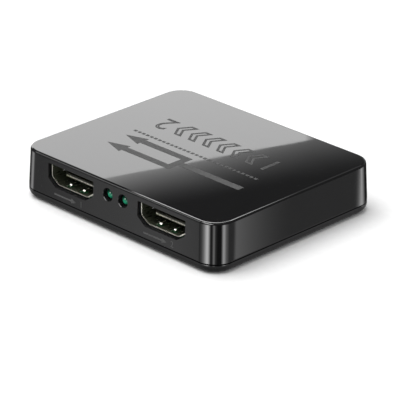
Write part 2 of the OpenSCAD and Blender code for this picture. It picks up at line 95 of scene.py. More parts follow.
def pick(kind, test):
    """Selects the open piece's faces, edges or corners by their middle, in millimetres, and direction."""
    bpy.ops.mesh.select_mode(type=kind)
    bpy.ops.mesh.select_all(action="DESELECT")
    mesh = bmesh.from_edit_mesh(bpy.context.object.data)
    for item in {"VERT": mesh.verts, "EDGE": mesh.edges, "FACE": mesh.faces}[kind]:
        if kind == "EDGE":
            start, end = (corner.co for corner in item.verts)
            middle, way = (start + end) / 2, (end - start).normalized()
        else:
            middle, way = (item.calc_center_median() if kind == "FACE" else item.co), item.normal
        item.select_set(bool(test(middle / MM, way)))
    mesh.select_flush_mode()
    bmesh.update_edit_mesh(bpy.context.object.data)


def bevel(width, segments=3):
    """Rounds the picked edges."""
    bpy.ops.mesh.bevel(offset=width * MM, segments=segments, affect="EDGES", clamp_overlap=False)


def pull(x, y, z):
    """Extrudes the picked faces by a step in millimetres."""
    bpy.ops.mesh.extrude_region_move(TRANSFORM_OT_translate={"value": (x * MM, y * MM, z * MM)})


def join(name, *pieces):
    """Joins pieces into one mesh."""
    only(*pieces)
    if len(pieces) > 1:
        bpy.ops.object.join()
    pieces[0].name = pieces[0].data.name = name
    return pieces[0]


def combine(piece, tool, operation="DIFFERENCE"):
    """Cuts a tool's shape out of a piece, or welds it on, and clears the tool away."""
    change = piece.modifiers.new("combine", "BOOLEAN")
    change.operation, change.solver, change.object = operation, "EXACT", tool
    only(piece)
    bpy.ops.object.modifier_apply(modifier=change.name)
    bpy.data.objects.remove(tool, do_unlink=True)


def smooth(piece, angle=35):
    """Shades a piece smooth across its roundings and flat across its faces."""
    only(piece)
    bpy.ops.object.shade_smooth_by_angle(angle=radians(angle))
    weigh = piece.modifiers.new("weigh", "WEIGHTED_NORMAL")
    weigh.keep_sharp = True
    bpy.ops.object.modifier_apply(modifier=weigh.name)


def settle(piece, finish, slot, *stands_for):
    """Gives a finished piece its material and hides the nodes that it stands for; the slot is not used."""
    if finish:
        piece.data.materials.append(finish)
    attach(piece, "root")
    if stands_for:
        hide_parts(*stands_for)


def linear(code):
    """An sRGB hex colour as linear values."""
    parts = [int(code[i:i + 2], 16) / 255 for i in (1, 3, 5)]
    return [p / 12.92 if p <= 0.04045 else ((p + 0.055) / 1.055) ** 2.4 for p in parts] + [1]


def new_material(name):
    """An empty material, and its tree of nodes."""
    made = bpy.data.materials.new(name)
    made.use_nodes = True
    made.node_tree.nodes.clear()
    return made, made.node_tree


def add(tree, kind, sockets={}, **settings):
    """Adds a node with its settings, then fills its sockets with values or links."""
    made = tree.nodes.new(kind)
    for key, value in settings.items():
        setattr(made, key, value)
    for key, value in sockets.items():
        if isinstance(value, bpy.types.NodeSocket):
            tree.links.new(value, made.inputs[key])
        else:
            made.inputs[key].default_value = value
    return made


# Black ABS, moulded in a polished tool: a deep black that is nearly a mirror, with a faint 12 mm ripple where
# the wall shrank, and 5 mm patches and 0.4 mm specks that are a touch duller where it was wiped.
black_abs, tree = new_material("black_abs_polished_moulding")
spot = add(tree, "ShaderNodeTexCoord").outputs["Object"]
wipe = add(tree, "ShaderNodeTexNoise", {"Vector": spot, "Scale": 1 / (5 * MM), "Detail": 3})
speck = add(tree, "ShaderNodeTexNoise", {"Vector": spot, "Scale": 1 / (0.4 * MM), "Detail": 1})
ripple = add(tree, "ShaderNodeTexNoise", {"Vector": spot, "Scale": 1 / (12 * MM), "Detail": 0})
tone = add(tree, "ShaderNodeValToRGB", {"Fac": wipe.outputs["Fac"]})
tone.color_ramp.elements[0].color = linear("#060607")
tone.color_ramp.elements[1].color = linear("#0C0C0D")
dull = add(tree, "ShaderNodeMapRange", {"Value": wipe.outputs["Fac"], "From Min": 0.35, "From Max": 0.75,
                                        "To Min": 0.012, "To Max": 0.02})
grain = add(tree, "ShaderNodeMapRange", {"Value": speck.outputs["Fac"], "From Min": 0.6, "From Max": 0.8,
                                         "To Min": 0.0, "To Max": 0.008})
rough = add(tree, "ShaderNodeMath", {0: dull.outputs["Result"], 1: grain.outputs["Result"]}, operation="ADD")
relief = add(tree, "ShaderNodeBump", {"Height": ripple.outputs["Fac"], "Strength": 1.0,
                                      "Distance": 0.002 * MM})
gloss = add(tree, "ShaderNodeBsdfPrincipled", {
    "Base Color": tone.outputs["Color"], "Roughness": rough.outputs["Value"], "IOR": 1.5,
    "Normal": relief.outputs["Normal"]})
add(tree, "ShaderNodeOutputMaterial", {"Surface": gloss.outputs["BSDF"]})

bottom = block("bottom_cover_moulding", (-CASE_W / 2, -CASE_D / 2, 0), (CASE_W / 2, CASE_D / 2, SEAM_Z))
edit(bottom)
pick("EDGE", lambda at, way: abs(way.z) > 0.9)
bevel(CORNER_R, 20)
pick("EDGE", lambda at, way: at.z < 0.01)
bevel(BASE_EDGE_R, 8)
pick("EDGE", lambda at, way: at.z > SEAM_Z - 0.01)
bevel(SEAM_BEVEL, 2)
pick("FACE", lambda at, way: way.z > 0.99 and at.z > SEAM_Z - 0.01)
bpy.ops.mesh.inset(thickness=(LIP_INSET - SEAM_BEVEL) * MM)
pull(0, 0, LIP_H)
bpy.ops.mesh.inset(thickness=LIP_T * MM)
pull(0, 0, FLOOR_T - SEAM_Z - LIP_H)
done()
boss_places = [(x * BOSS_X, y * BOSS_Y) for x in (-1, 1) for y in (-1, 1)]
combine(bottom, join("posts", *[rod("post", (x, y, FLOOR_T / 2), BOSS_R, BOARD_Z - FLOOR_T / 2)
                                for x, y in boss_places]), "UNION")
combine(bottom, join("seats", *[rod("seat", (x, y, -1), SEAT_R, SEAT_Z + 1) for x, y in boss_places]))
combine(bottom, join("holes", *[rod("hole", (x, y, -1), SCREW_HOLE_R, BOARD_Z + 2) for x, y in boss_places]))
edit(bottom)
pick("EDGE", lambda at, way: abs(at.z) < 0.01 and abs(abs(at.x) - BOSS_X) < 2.2
     and abs(abs(at.y) - BOSS_Y) < 2.2)
bevel(0.15, 2)
done()
smooth(bottom)
settle(bottom, black_abs, "black_gloss", "bottom_cover")


# Circuit board: 1.6 mm glass-epoxy sheet with green solder mask, etched and drilled, clamped between posts
# and bosses. The electronics on it are reflow-soldered. The shapes are the frame's own.

# Solder mask over copper: a green lacquer, lighter over the tracks that run below it in a 0.8 mm grid.
mask, tree = new_material("solder_mask_on_glass_epoxy")
spot = add(tree, "ShaderNodeTexCoord").outputs["Object"]
tracks = add(tree, "ShaderNodeTexBrick", {
    "Vector": spot, "Scale": 1 / (1.6 * MM), "Mortar Size": 0.03, "Row Height": 0.5,
    "Color1": linear("#175231"), "Color2": linear("#1D6039"), "Mortar": linear("#2E7A4A")})
weave = add(tree, "ShaderNodeTexNoise", {"Vector": spot, "Scale": 1 / (0.3 * MM), "Detail": 2})
relief = add(tree, "ShaderNodeBump", {"Height": tracks.outputs["Fac"], "Strength": 0.5,
                                      "Distance": 0.02 * MM})
rough = add(tree, "ShaderNodeMapRange", {"Value": weave.outputs["Fac"], "To Min": 0.25, "To Max": 0.45})
lacquer = add(tree, "ShaderNodeBsdfPrincipled", {
    "Base Color": tracks.outputs["Color"], "Roughness": rough.outputs["Result"],
    "Normal": relief.outputs["Normal"]})
add(tree, "ShaderNodeOutputMaterial", {"Surface": lacquer.outputs["BSDF"]})


def speckled(name, dark, light, size, smoothest, roughest, metal=0.0, stretch=(1, 1, 1), shine=0.5):
    """A material whose colour and roughness drift together over specks or streaks of one size."""
    made, tree = new_material(name)
    spot = add(tree, "ShaderNodeTexCoord").outputs["Object"]
    drawn = add(tree, "ShaderNodeMapping", {"Vector": spot, "Scale": stretch})
    speck = add(tree, "ShaderNodeTexNoise", {"Vector": drawn.outputs["Vector"], "Scale": 1 / (size * MM),
                                             "Detail": 3})
    tone = add(tree, "ShaderNodeValToRGB", {"Fac": speck.outputs["Fac"]})
    tone.color_ramp.elements[0].position, tone.color_ramp.elements[1].position = 0.3, 0.7
    tone.color_ramp.elements[0].color, tone.color_ramp.elements[1].color = linear(dark), linear(light)
    rough = add(tree, "ShaderNodeMapRange", {"Value": speck.outputs["Fac"], "From Min": 0.3, "From Max": 0.7,
                                             "To Min": smoothest, "To Max": roughest})
    relief = add(tree, "ShaderNodeBump", {"Height": speck.outputs["Fac"], "Strength": 0.3,
                                          "Distance": 0.05 * size * MM})
    face = add(tree, "ShaderNodeBsdfPrincipled", {
        "Base Color": tone.outputs["Color"], "Roughness": rough.outputs["Result"], "Metallic": metal,
        "Specular IOR Level": shine, "Normal": relief.outputs["Normal"]})
    add(tree, "ShaderNodeOutputMaterial", {"Surface": face.outputs["BSDF"]})
    return made


# Moulded chip epoxy is a flat charcoal with a fine filler grain. Tinned copper is a soft grey metal that the
# solder left mottled. Fired ceramic is a chalky tan, ferrite a dense grey, and the can a drawn aluminium that
# shows its draw lines.
chip_epoxy = speckled("chip_epoxy_moulding", "#161617", "#242426", 0.25, 0.45, 0.6)
tinned = speckled("tinned_copper_soldered", "#A6A6A2", "#CFCFCB", 0.3, 0.2, 0.4, metal=1.0)
ceramic = speckled("ceramic_fired", "#8A6844", "#A98358", 0.2, 0.4, 0.6)
ferrite = speckled("ferrite_sintered", "#37373A", "#454548", 0.2, 0.55, 0.75)
can_metal = speckled("aluminium_drawn_can", "#C2C2C2", "#DADADA", 0.2, 0.25, 0.4, metal=1.0,
                      stretch=(1, 1, 0.1))
for finish, names in ((mask, ("main_board",)),
                      (chip_epoxy, ("splitter_chip", "memory_chip", "regulator", "filter_capacitor_base",
                                    "resistors", "surge_arrays")),
                      (tinned, ("splitter_chip_leads", "memory_chip_leads", "regulator_leads",
                                "output_led_leads", "power_led_leads", "crystal_lid",
                                "inductor_terminals", "chip_end_caps")),
                      (ceramic, ("crystal_base", "ceramic_capacitors", "power_fuse")),
                      (ferrite, ("inductor",)), (can_metal, ("filter_capacitor",))):
    for name in names:
        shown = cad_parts[name]
        shown.data.materials.clear()
        shown.data.materials.append(finish)


# Video sockets: each shell is folded from one strip of nickel-plated brass, with cut lower corners, rounded
# bends, spring fingers pressed out of the upper and lower walls, and legs soldered through the board.
# A glass-filled moulding inside carries the tongue, with gold-flashed contacts above and below it.

VIDEO_W, VIDEO_H, VIDEO_LEN, VIDEO_SHEET = 15, 5.2, 11, 0.3
VIDEO_CUT_W, VIDEO_CUT_H = 2.4, 1.7
VIDEO_Y, OUTPUT_X, INPUT_X = 26.705, 15.35, 2.65
TONGUE_W, TONGUE_Z, TONGUE_T, TONGUE_TIP = 10.6, 1.5, 1.1, 2.6
BLOCK_FRONT, BLOCK_BACK = 6.4, 9.6
FINGER_X, FINGER_W, FINGER_TIP, FINGER_LEN, FINGER_T = 2.35, 1.2, 1.0, 2.8, 0.28
WINDOW_GAP = 0.3
LEG_PLACES, LEG_W, LEG_DROP = (4, 9.2), 1.2, 2.1
LEG_X, LEG_T, LEG_TOP = 7.32, 0.3, 2.4
CONTACT_COUNT, CONTACT_PITCH, CONTACT_W, CONTACT_T, CONTACT_TAIL = 19, 0.5, 0.3, 0.12, 2.08
NOSE_W, NOSE_LOW, NOSE_TOP = 0.84, 0.34, 0.72


def cut_cornered(name, width, height, cut_w, cut_h, front, back):
    """A bar along Y whose lower corners are cut off, standing at height zero, left open."""
    bar = block(name, (-width / 2, front, 0), (width / 2, back, height))
    edit(bar)
    for side in (-1, 1):
        bpy.ops.mesh.select_all(action="SELECT")
        bpy.ops.mesh.bisect(plane_co=(side * (width / 2 - cut_w) * MM, 0, 0),
                            plane_no=Vector((side * cut_h, 0, -cut_w)).normalized(),
                            use_fill=True, clear_outer=True)
    return bar


# Nickel plate on rolled brass: a bright satin metal with fine rolling lines along the strip. Inside the fold
# the nickel is painted a dark olive as painted shade, so the mouth looks dark.
nickel = speckled("nickel_plated_brass_strip", "#ECE9DC", "#F7F5EA", 0.25, 0.26, 0.36, metal=1.0,
                  stretch=(1, 0.08, 1))
shaded_nickel = speckled("nickel_painted_shade_inside_fold", "#44483A", "#565A4A", 0.4, 0.25, 0.35, metal=0.6,
                       stretch=(1, 0.2, 1))

shell = cut_cornered("video_shell", VIDEO_W, VIDEO_H, VIDEO_CUT_W, VIDEO_CUT_H, 0, VIDEO_LEN)
pick("EDGE", lambda at, way: abs(way.y) > 0.9)
bevel(0.6, 5)
pick("FACE", lambda at, way: way.y < -0.9)
bpy.ops.mesh.inset(thickness=VIDEO_SHEET * MM)
pull(0, VIDEO_LEN - VIDEO_SHEET, 0)
pick("EDGE", lambda at, way: abs(at.y) < 0.01)
bevel(0.03, 2)
shell.data.materials.append(nickel)
shell.data.materials.append(shaded_nickel)
# The inner faces take the darker nickel: painted shade.
pick("FACE", lambda at, way: at.y > 0.3 and way.x * at.x + way.z * (at.z - VIDEO_H / 2) < -0.1)
shell.active_material_index = 1
bpy.ops.object.material_slot_assign()
done()
windows = [block("window", (x - FINGER_W / 2 - WINDOW_GAP, FINGER_TIP - WINDOW_GAP, low),
                 (x + FINGER_W / 2 + WINDOW_GAP, FINGER_TIP + FINGER_LEN, low + 1.4))
           for x in (-FINGER_X, FINGER_X) for low in (-1, VIDEO_H - 0.4)]
combine(shell, join("windows", *windows))
combine(shell, block("tail_gap", (-VIDEO_W / 2 - 1, BLOCK_BACK, -1), (VIDEO_W / 2 + 1, VIDEO_LEN + 1, 0.6)))
fingers = []
for x in (-FINGER_X, FINGER_X):
    for top in (False, True):
        low, rise = (VIDEO_H - 0.3, -1) if top else (0.02, 1)
        finger = block("finger", (x - FINGER_W / 2, FINGER_TIP + FINGER_LEN, low),
                       (x + FINGER_W / 2, FINGER_TIP + FINGER_LEN + 0.4, low + FINGER_T))
        # The fingers take the darker nickel as painted shade, and the bright nickel only on their front
        # faces.
        finger.data.materials.append(shaded_nickel)
        finger.data.materials.append(nickel)
        edit(finger)
        pick("FACE", lambda at, way: way.y < -0.9)
        for run, climb in ((0.8, 0.12), (0.8, 0.18), (0.5, 0.1)):
            pull(0, -run, rise * climb)
        bpy.ops.transform.resize(value=(0.55, 1, 1))
        for run, climb in ((0.1, 0.01), (0.19, -0.25), (0.1, 0.0)):
            pull(0, -run, rise * climb)
        pick("FACE", lambda at, way: way.y < -0.6)
        finger.active_material_index = 1
        bpy.ops.object.material_slot_assign()
        done()
        fingers.append(finger)
legs = [block("leg", (side * LEG_X - LEG_T / 2, depth - LEG_W / 2, -LEG_DROP),
              (side * LEG_X + LEG_T / 2, depth + LEG_W / 2, LEG_TOP))
        for side in (-1, 1) for depth in LEG_PLACES]
for leg in legs:
    edit(leg)
    pick("EDGE", lambda at, way: at.z < 0.01 - LEG_DROP and abs(way.x) > 0.9)
    bevel(0.3, 2)
    done()
shell = join("video_shell", shell, *fingers, *legs)
smooth(shell)

# Liquid-crystal polymer with glass fibre: a dry, dark olive-grey moulding with a fine fibre speckle.
socket_plastic = speckled("glass_filled_polymer_moulding", "#26261F", "#36362C", 0.2, 0.35, 0.5)

# The moulding: a block across the back of the shell with the tongue standing out of it.
carrier = cut_cornered("video_carrier", VIDEO_W - 2 * VIDEO_SHEET - 0.04, VIDEO_H - 2 * VIDEO_SHEET - 0.04,
                       VIDEO_CUT_W - 0.2, VIDEO_CUT_H - 0.15, BLOCK_FRONT, BLOCK_BACK)
pick("EDGE", lambda at, way: abs(way.y) > 0.9)
bevel(0.3, 3)
bpy.ops.mesh.select_all(action="SELECT")
bpy.ops.transform.translate(value=(0, 0, (VIDEO_SHEET + 0.02) * MM))
done()
tongue = block("tongue", (-TONGUE_W / 2, TONGUE_TIP, TONGUE_Z),
               (TONGUE_W / 2, BLOCK_FRONT + 1, TONGUE_Z + TONGUE_T))
edit(tongue)
pick("EDGE", lambda at, way: at.y < TONGUE_TIP + 0.01)
bevel(0.25, 4)
done()
combine(carrier, tongue, "UNION")
smooth(carrier)

# A thin gold flash over nickel on stamped bronze: a pale, soft yellow metal with wipe marks.
gold = speckled("gold_flash_on_nickelled_bronze", "#D2C49C", "#EFE6CC", 0.15, 0.28, 0.4, metal=1.0,
                stretch=(1, 0.1, 1))

# The contacts: ten above the tongue with a nickelled nose over its front, nine below it, all turned down
# behind the block and out along the board.
contacts = []
for i in range(CONTACT_COUNT):
    across, over = (i - CONTACT_COUNT // 2) * CONTACT_PITCH, i % 2 == 0
    level = TONGUE_Z + TONGUE_T if over else TONGUE_Z - CONTACT_T
    strip = block("contact", (across - CONTACT_W / 2, TONGUE_TIP + (1.1 if over else 0.4), level),
                  (across + CONTACT_W / 2, BLOCK_BACK, level + CONTACT_T))
    edit(strip)
    pick("FACE", lambda at, way: way.y > 0.9)
    pull(0, CONTACT_T, 0)
    pick("FACE", lambda at, way: way.z < -0.9 and at.y > BLOCK_BACK)
    pull(0, 0, CONTACT_T - level)
    pull(0, 0, -CONTACT_T)
    pick("FACE", lambda at, way: way.y > 0.9 and at.z < 0.1)
    pull(0, CONTACT_TAIL, 0)
    pick("EDGE", lambda at, way: abs(way.x) > 0.9)
    bevel(0.03, 1)
    done()
    contacts.append(strip)
    if over:
        nose = block("contact_nose", (across - NOSE_W / 2, TONGUE_TIP - 0.1, TONGUE_Z + NOSE_LOW),
                     (across + NOSE_W / 2, TONGUE_TIP + 0.12, TONGUE_Z + NOSE_TOP))
        edit(nose)
        pick("EDGE", lambda at, way: at.y < TONGUE_TIP - 0.09 and abs(way.x) > 0.9)
        bevel(0.06, 2)
        done()
        nose.data.materials.append(nickel)
        contacts.append(nose)
for piece in contacts:
    if not piece.data.materials:
        piece.data.materials.append(gold)
contacts = join("video_contacts", *contacts)
smooth(contacts)
for place, x, side in (("output_1", -OUTPUT_X, -1), ("output_2", OUTPUT_X, -1), ("input", INPUT_X, 1)):
    for model, part, finish, slot in ((shell, "shell", None, "nickel_shell"),
                                      (contacts, "contacts", None, "gold_contact"),
                                      (carrier, "insulator", socket_plastic, "socket_plastic")):
        only(model)
        bpy.ops.object.duplicate()
        piece = bpy.context.object
        piece.name = piece.data.name = f"{place}_{part}_formed"
        piece.rotation_euler.z = pi if side > 0 else 0
        piece.location = Vector((x, side * VIDEO_Y, BOARD_TOP)) * MM
        bpy.ops.object.transform_apply(location=True, rotation=True, scale=True)
        settle(piece, finish, slot, f"{place}_{part}")
for model in (shell, carrier, contacts):
    bpy.data.objects.remove(model, do_unlink=True)


# Power socket: a small shell folded from plated strip, open at both ends, with two legs through the board.
# Its moulding and its five contacts are the frame's own shapes.

POWER_W, POWER_H, POWER_LEN, POWER_SHEET, POWER_CUT = 7.4, 2.6, 5.4, 0.3, 0.9
POWER_X, POWER_Y = 19.15, 26.757
POWER_LEG_X, POWER_LEG_Y, POWER_LEG_T, POWER_LEG_TOP = 3.54, 3, 0.26, 1.5

power_shell = cut_cornered("power_shell_formed", POWER_W, POWER_H, POWER_CUT, POWER_CUT, 0, POWER_LEN)
pick("EDGE", lambda at, way: abs(way.y) > 0.9)
bevel(0.35, 4)
pick("FACE", lambda at, way: abs(way.y) > 0.9)
bpy.ops.mesh.inset(thickness=POWER_SHEET * MM, use_individual=True)
bpy.ops.mesh.bridge_edge_loops()
pick("EDGE", lambda at, way: abs(at.y) < 0.01)
bevel(0.08, 2)
done()
power_legs = [block("leg", (side * POWER_LEG_X - POWER_LEG_T / 2, POWER_LEG_Y - LEG_W / 2, -LEG_DROP),
                    (side * POWER_LEG_X + POWER_LEG_T / 2, POWER_LEG_Y + LEG_W / 2, POWER_LEG_TOP))
              for side in (-1, 1)]
power_shell = join("power_shell_formed", power_shell, *power_legs)
smooth(power_shell)
only(power_shell)
power_shell.rotation_euler.z = pi
power_shell.location = Vector((POWER_X, POWER_Y, BOARD_TOP)) * MM
bpy.ops.object.transform_apply(location=True, rotation=True, scale=True)
settle(power_shell, nickel, "nickel_shell", "power_shell")
for name, finish in (("power_insulator", socket_plastic), ("power_contacts", gold)):
    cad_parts[name].data.materials.clear()
    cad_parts[name].data.materials.append(finish)


# Lamps: three 3 mm domed lenses cast in tinted epoxy, each with a flange at its base, whose leads turn down
# into the board. The output pair sits back in its holes, and the power lamp almost reaches the outer face.

LED_R, LED_LEN, LED_FLANGE_R, LED_FLANGE_T, LED_Z = 1.5, 5.3, 1.7, 1.0, 9.4
LED_X, OUTPUT_LED_Y, POWER_LED_X, POWER_LED_Y = 2.54, 26.965, 12.8, 27.265


def tinted_epoxy(name, deep, bright, x):
    """Dyed epoxy in 0.5 mm clouds, painted lighter in the middle and darker towards the rim as painted shade,
    with a painted white highlight near the top.
    """
    made, tree = new_material(name)
    spot = add(tree, "ShaderNodeTexCoord").outputs["Object"]
    # The middle is painted lighter and the rim darker: painted shade.
    lit_middle = ((x + 0.1) * MM, 0, (LED_Z - 0.4) * MM)
    away = add(tree, "ShaderNodeVectorMath", {0: spot, 1: lit_middle}, operation="SUBTRACT")
    across = add(tree, "ShaderNodeVectorMath", {0: away.outputs["Vector"], 1: (1, 0, 1)},
                 operation="MULTIPLY")
    reach = add(tree, "ShaderNodeVectorMath", {0: across.outputs["Vector"]}, operation="LENGTH")
    depth = add(tree, "ShaderNodeMapRange", {"Value": reach.outputs["Value"], "From Min": 0.35 * MM,
                                             "From Max": 1.05 * MM, "To Min": 0.75, "To Max": 0.0})
    cloud = add(tree, "ShaderNodeTexNoise", {"Vector": spot, "Scale": 1 / (0.5 * MM), "Detail": 2})
    light = add(tree, "ShaderNodeMath", {0: cloud.outputs["Fac"], 1: 0.3, 2: depth.outputs["Result"]},
                operation="MULTIPLY_ADD")
    tone = add(tree, "ShaderNodeValToRGB", {"Fac": light.outputs["Value"]})
    tone.color_ramp.elements[0].position, tone.color_ramp.elements[1].position = 0.1, 0.9
    tone.color_ramp.elements[0].color, tone.color_ramp.elements[1].color = linear(deep), linear(bright)
    # A painted highlight: a white spot near the top of the dome.
    highlight_spot = ((x + 0.2) * MM, 0, (LED_Z + 0.45) * MM)
    beside = add(tree, "ShaderNodeVectorMath", {0: spot, 1: highlight_spot}, operation="SUBTRACT")
    beside = add(tree, "ShaderNodeVectorMath", {0: beside.outputs["Vector"], 1: (1, 0, 1)},
                 operation="MULTIPLY")
    beside = add(tree, "ShaderNodeVectorMath", {0: beside.outputs["Vector"]}, operation="LENGTH")
    painted_highlight = add(tree, "ShaderNodeMapRange", {"Value": beside.outputs["Value"], "From Min": 0.05 * MM,
                                             "From Max": 0.22 * MM, "To Min": 0.65, "To Max": 0.0})
    tint_with_painted_light = add(tree, "ShaderNodeMix", {0: painted_highlight.outputs["Result"], 6: tone.outputs["Color"],
                                       7: linear("#FFFFFF")}, data_type="RGBA")
    lens = add(tree, "ShaderNodeBsdfPrincipled", {"Base Color": tint_with_painted_light.outputs[2], "Roughness": 0.09,
                                                  "Specular IOR Level": 0.15})
    add(tree, "ShaderNodeOutputMaterial", {"Surface": lens.outputs["BSDF"]})
    return made


green_left = tinted_epoxy("green_epoxy_cast_lens_1", "#083A27", "#279570", -LED_X)
green_right = tinted_epoxy("green_epoxy_cast_lens_2", "#083A27", "#279570", LED_X)
red_epoxy = tinted_epoxy("red_epoxy_cast_lens", "#4A0810", "#D0303E", POWER_LED_X)
lens = rod("lens", (0, LED_LEN, 0), LED_R, LED_LEN, tilt=90)
edit(lens)
pick("EDGE", lambda at, way: at.y < 0.01)
bevel(LED_R - 0.03, 12)
done()
flange = rod("flange", (0, LED_LEN, 0), LED_FLANGE_R, LED_FLANGE_T, tilt=90)
edit(flange)
pick("EDGE", lambda at, way: abs(at.y - LED_LEN + LED_FLANGE_T) < 0.01)
bevel(0.1, 2)
done()
combine(lens, flange, "UNION")
smooth(lens)
for name, x, side, y, finish, slot in (("output_1_led", -LED_X, -1, OUTPUT_LED_Y, green_left, "green_lens"),
                                       ("output_2_led", LED_X, -1, OUTPUT_LED_Y, green_right, "green_lens"),
                                       ("power_led", POWER_LED_X, 1, POWER_LED_Y, red_epoxy, "red_lens")):
    only(lens)
    bpy.ops.object.duplicate()
    piece = bpy.context.object
    piece.name = piece.data.name = name + "_lens"
    piece.rotation_euler.z = pi if side > 0 else 0
    piece.location = Vector((x, side * y, LED_Z)) * MM
    bpy.ops.object.transform_apply(location=True, rotation=True, scale=True)
    settle(piece, finish, slot, name)
bpy.data.objects.remove(lens, do_unlink=True)


# Top cover: the deep glossy shell of the box, with walls that lean in so that it leaves the mould, a small
# radius round the top, bosses for the screws, and openings for the sockets and lamps.
# Injection-moulded black ABS with a polished mould face.

CASE_H, ROOF_Z, TOP_EDGE_R, LEAN = 12.7, 11.5, 0.6, tan(radians(2.3))
SCREW_TIP_Z, PILOT_R = 9.7, 1.02
PORT_GAP, PORT_TOP_GAP, LAMP_GAP, INK_T = 0.35, 0.1, 0.1, 0.02
VIDEO_PORT_CUT, POWER_PORT_CUT = (2.64, 1.87), (1.1, 1.1)

top = block("top_cover_moulding", (-CASE_W / 2, -CASE_D / 2, SEAM_Z + SEAM_GAP),
            (CASE_W / 2, CASE_D / 2, CASE_H - INK_T))
edit(top)
pick("EDGE", lambda at, way: abs(way.z) > 0.9)
bevel(CORNER_R, 24)
pick("FACE", lambda at, way: way.z > 0.9)
shift = 2 * (CASE_H - INK_T - SEAM_Z) * LEAN
bpy.ops.transform.resize(value=(1 - shift / CASE_W, 1 - shift / CASE_D, 1))
pick("EDGE", lambda at, way: at.z > CASE_H - INK_T - 0.01)
bevel(TOP_EDGE_R, 6)
pick("EDGE", lambda at, way: at.z < SEAM_Z + SEAM_GAP + 0.01)
bevel(SEAM_BEVEL, 2)
pick("FACE", lambda at, way: way.z < -0.99)
bpy.ops.mesh.inset(thickness=(SEAM_STEP - SEAM_BEVEL) * MM)
pull(0, 0, -SEAM_GAP)
bpy.ops.mesh.inset(thickness=(WALL - SEAM_STEP) * MM)
pull(0, 0, ROOF_Z - SEAM_Z)
done()
combine(top, join("bosses", *[rod("boss", (x, y, BOARD_TOP), BOSS_R, ROOF_Z + 0.5 - BOARD_TOP)
                              for x, y in boss_places]), "UNION")
combine(top, join("pilots", *[rod("pilot", (x, y, BOARD_TOP - 1), PILOT_R, SCREW_TIP_Z + 1.4 - BOARD_TOP)
                              for x, y in boss_places]))


def socket_opening(x, side, width, height, cut_w, cut_h):
    """The opening in one wall round a socket, with its corners slightly rounded."""
    tool = cut_cornered("opening", width, height, cut_w, cut_h, -3, 3)
    pick("EDGE", lambda at, way: abs(way.y) > 0.9)
    bevel(0.25, 3)
    bpy.ops.mesh.select_all(action="SELECT")
    bpy.ops.transform.translate(value=(x * MM, side * VIDEO_Y * MM, (BOARD_TOP - PORT_GAP) * MM))
    done()
    return tool


lamps = ((-LED_X, -1), (LED_X, -1), (POWER_LED_X, 1))
tools = [socket_opening(x, side, VIDEO_W + 2 * PORT_GAP, VIDEO_H + PORT_GAP + PORT_TOP_GAP, *VIDEO_PORT_CUT)
         for x, side in ((-OUTPUT_X, -1), (OUTPUT_X, -1), (INPUT_X, 1))]
tools.append(socket_opening(POWER_X, 1, POWER_W + 2 * PORT_GAP, POWER_H + PORT_GAP + PORT_TOP_GAP,
                            *POWER_PORT_CUT))
tools += [rod("lamp_hole", (x, side * VIDEO_Y + 3, LED_Z), LED_R + LAMP_GAP, 6, tilt=90) for x, side in lamps]
combine(top, join("openings", *tools))


def on_outer_rim(at):
    """True for the edges of the openings where they meet the outer face."""
    wall_y = CASE_D / 2 - (at.z - SEAM_Z) * LEAN
    return abs(abs(at.y) - wall_y) < 0.02 and abs(at.x) < 24.5 and 5 < at.z < 11.6


def by_lamp(at):
    """True close to one of the lamps."""
    return any(abs(at.x - x) < LED_R + 0.3 and at.y * side > 0 for x, side in lamps)


def under_skin(at):
    """True for what lies below the outer skin: the inside of the cover and the walls of its openings."""
    out_x, out_y = (max(abs(at[i]) - size / 2 + CORNER_R, 0) for i, size in enumerate((CASE_W, CASE_D)))
    skin = CORNER_R - (at.z - SEAM_Z) * LEAN
    return at.z < CASE_H - TOP_EDGE_R - 0.05 and hypot(out_x, out_y) < skin - 0.08


edit(top)
pick("EDGE", lambda at, way: on_outer_rim(at) and by_lamp(at))
bevel(0.07, 1)
pick("EDGE", lambda at, way: on_outer_rim(at) and not by_lamp(at))
bevel(0.02, 2)
# Black ABS where the mould was left spark-eroded: a dull, fine-grained black inside the box and its openings.
dull_abs = speckled("black_abs_spark_eroded_moulding", "#0A0A0B", "#111112", 0.3, 0.6, 0.75, shine=0.2)
top.data.materials.append(black_abs)
top.data.materials.append(dull_abs)
pick("FACE", lambda at, way: under_skin(at))
top.active_material_index = 1
bpy.ops.object.material_slot_assign()
done()
smooth(top)
settle(top, None, "black_gloss", "top_cover")


# Printed marks: on the roof a generic sign for one line that splits in two, a dotted line, and chevrons
# between the numerals 1 and 2; under each output an arrow and its numeral.
# Pad-printed grey ink, 0.02 mm thick. The roof reads from the input side.

# Pad-printed ink: a flat mid grey with the faint 0.5 mm mottle of the pad, much duller than the plastic.
grey_ink = speckled("grey_ink_pad_print", "#393939", "#414141", 0.5, 0.5, 0.6, shine=0.1)


def ink(piece, stroke=0):
    """Thickens a flat shape to a sheet of ink, or first keeps just a rim of it, as for an outlined sign."""
    edit(piece)
    bpy.ops.mesh.select_all(action="SELECT")
    bpy.ops.mesh.remove_doubles(threshold=0.01 * MM)
    bpy.ops.mesh.normals_make_consistent(inside=False)
    if stroke:
        bpy.ops.mesh.inset(thickness=stroke * MM)
        bpy.ops.mesh.delete(type="FACE")
        bpy.ops.mesh.select_all(action="SELECT")
    pull(0, 0, INK_T)
    bpy.ops.mesh.select_all(action="SELECT")
    bpy.ops.mesh.normals_make_consistent(inside=False)
    done()
    return piece


def lay(points, stroke=0):
    """A flat ink shape through corner points, in millimetres, lying at the origin's height."""
    bpy.ops.object.select_all(action="DESELECT")
    bpy.ops.mesh.primitive_circle_add(vertices=len(points), radius=MM, fill_type="NGON")
    piece = bpy.context.object
    for corner, (x, y) in zip(piece.data.vertices, points):
        corner.co = Vector((x, y, 0)) * MM
    return ink(piece, stroke)


def bar(x0, x1, y0, y1):
    """A straight ink bar."""
    return lay([(x0, y0), (x1, y0), (x1, y1), (x0, y1)])


